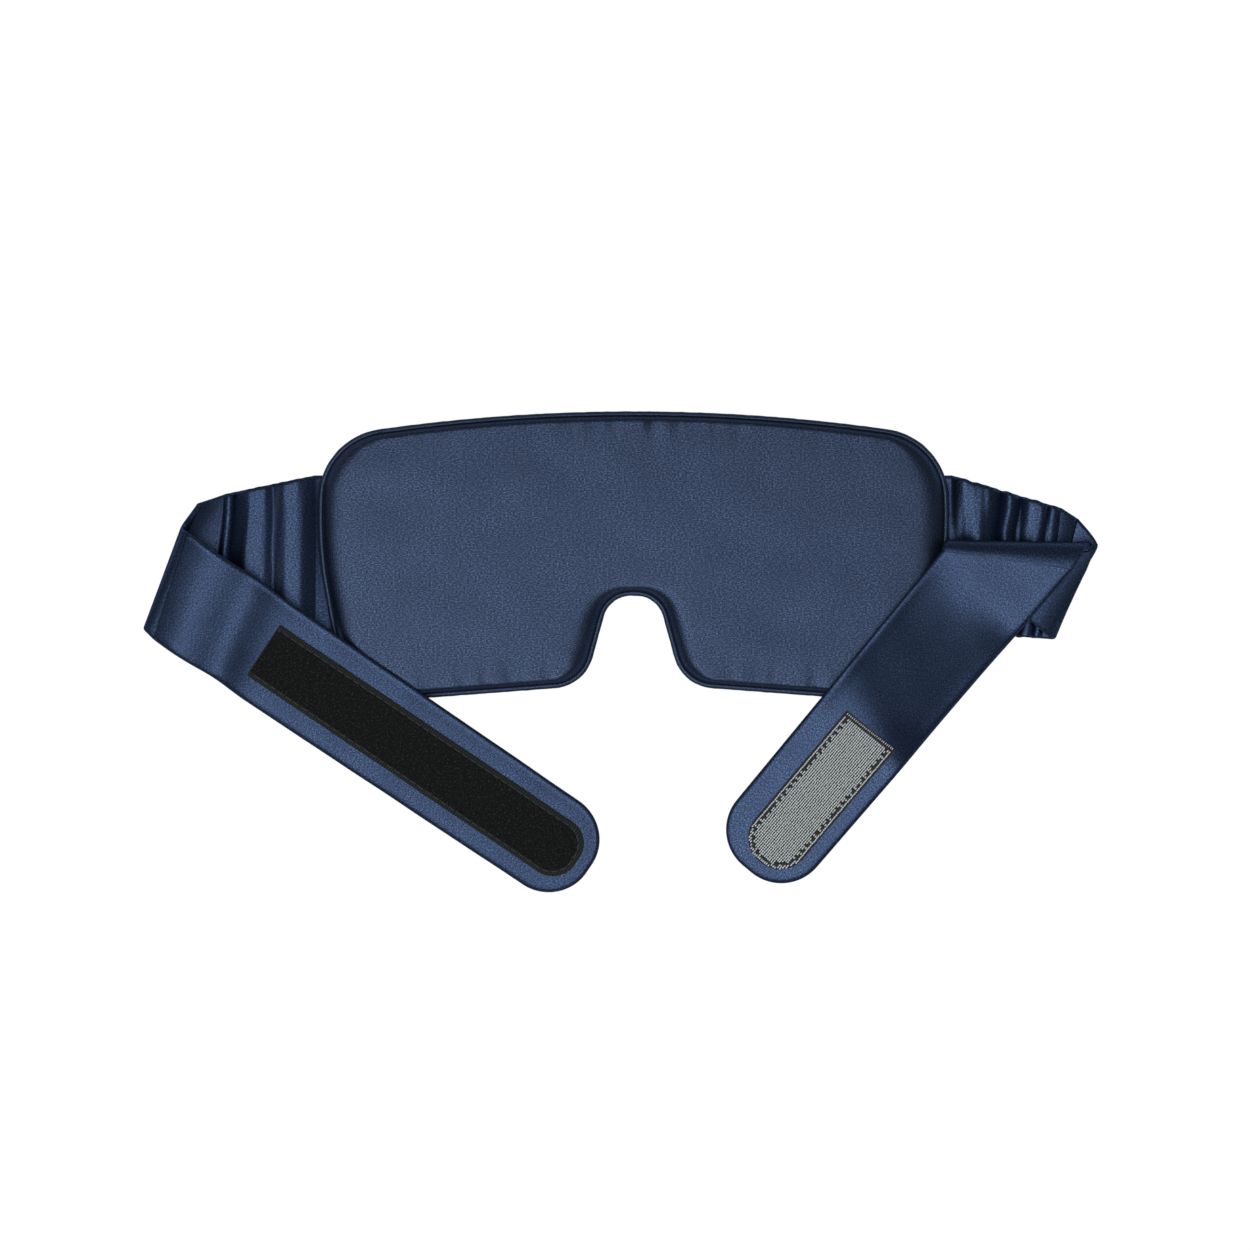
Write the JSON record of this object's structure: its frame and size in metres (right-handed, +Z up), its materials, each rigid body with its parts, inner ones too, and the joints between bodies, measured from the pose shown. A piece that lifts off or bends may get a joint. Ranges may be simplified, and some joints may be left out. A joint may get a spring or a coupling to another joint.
{
  "type": "sleep mask",
  "caption": "Padded satin sleep mask with piped edge, nose notch, and elastic straps folded over the pad, one ending in loop tape and the other in hook tape",
  "frame": {"origin": "on the table under the middle of the pad, where the front panel rests", "axes": "X from temple to temple, Y towards the forehead, Z up towards the wearer's eyes"},
  "size_m": [0.3078, 0.1541, 0.0126],
  "materials": {
    "satin": "navy satin, fine weave",
    "strap_satin": "navy satin, fine weave",
    "piping": "navy satin bias strip",
    "lining": "black opaque weave",
    "wadding": "white fibre wadding",
    "cord": "white cotton cord",
    "elastic": "white woven elastic",
    "interlining": "white non-woven interlining",
    "thread": "dark sewing thread",
    "loop_backing": "black woven tape",
    "loop_pile": "black brushed loop pile",
    "hook_backing": "dark grey woven tape",
    "hooks": "pale translucent filament hooks"
  },
  "bodies": {
    "pad": {"back_panel": "satin", "front_panel": "satin", "blackout_lining": "lining", "wadding": "wadding", "piping_cover": "piping", "piping_cord": "cord", "seam_thread": "thread", "left_strap_tab": "strap_satin", "right_strap_tab": "strap_satin"},
    "left_base": {"left_sleeve": "strap_satin", "left_elastic": "elastic"},
    "left_middle": {"left_band": "strap_satin", "left_cross_stitches": "thread", "left_fold_roll": "strap_satin"},
    "left_end": {"left_end_cover": "strap_satin", "left_interlining": "interlining", "loop_tape": "loop_backing", "loop_pile": "loop_pile", "loop_stitches": "thread"},
    "right_base": {"right_sleeve": "strap_satin", "right_elastic": "elastic"},
    "right_middle": {"right_band": "strap_satin", "right_cross_stitches": "thread", "right_fold_roll": "strap_satin"},
    "right_layer": {"right_turn": "strap_satin", "right_lip_roll": "strap_satin"},
    "right_end": {"right_end_cover": "strap_satin", "right_interlining": "interlining", "hook_tape": "hook_backing", "hook_field": "hooks", "hook_stitches": "thread"}
  },
  "joints": [
    {"name": "left_seam", "type": "hinge", "parent": "pad", "child": "left_base", "pos_m": [-0.10215, 0.003, 0.003], "axis": [0, 1, 0], "range_deg": [0, 80]},
    {"name": "left_stretch", "type": "slide", "parent": "left_base", "child": "left_middle", "axis": [-0.9893, -0.1456, 0], "range_m": [0, 0.015], "stiffness_N_per_m": 120, "deforming": ["left_sleeve", "left_elastic"]},
    {"name": "left_fold", "type": "hinge", "parent": "left_middle", "child": "left_end", "pos_m": [-0.15512, -0.0261, 0.00201], "axis": [-0.3558, -0.9285, -0.1067], "range_deg": [0, 160], "deforming": ["left_fold_roll"]},
    {"name": "right_seam", "type": "hinge", "parent": "pad", "child": "right_base", "pos_m": [0.10215, 0.003, 0.003], "axis": [0, -1, 0], "range_deg": [0, 80]},
    {"name": "right_stretch", "type": "slide", "parent": "right_base", "child": "right_middle", "axis": [0.9606, -0.278, 0], "range_m": [0, 0.015], "stiffness_N_per_m": 120, "deforming": ["right_sleeve", "right_elastic"]},
    {"name": "right_fold", "type": "hinge", "parent": "right_middle", "child": "right_layer", "pos_m": [0.13318, -0.02694, 0.00215], "axis": [0.336, 0.9411, 0.0371], "range_deg": [0, 160], "deforming": ["right_fold_roll"]},
    {"name": "right_roll", "type": "hinge", "parent": "right_layer", "child": "right_end", "pos_m": [0.10094, 0.0031, 0.0086], "axis": [-0.9917, 0.1282, -0.007], "range_deg": [0, 120], "deforming": ["right_lip_roll"]}
  ],
  "couplings": [
    {"joint": "left_seam", "follows": "left_fold", "ratio": 0.5},
    {"joint": "right_seam", "follows": "right_fold", "ratio": 0.5}
  ]
}
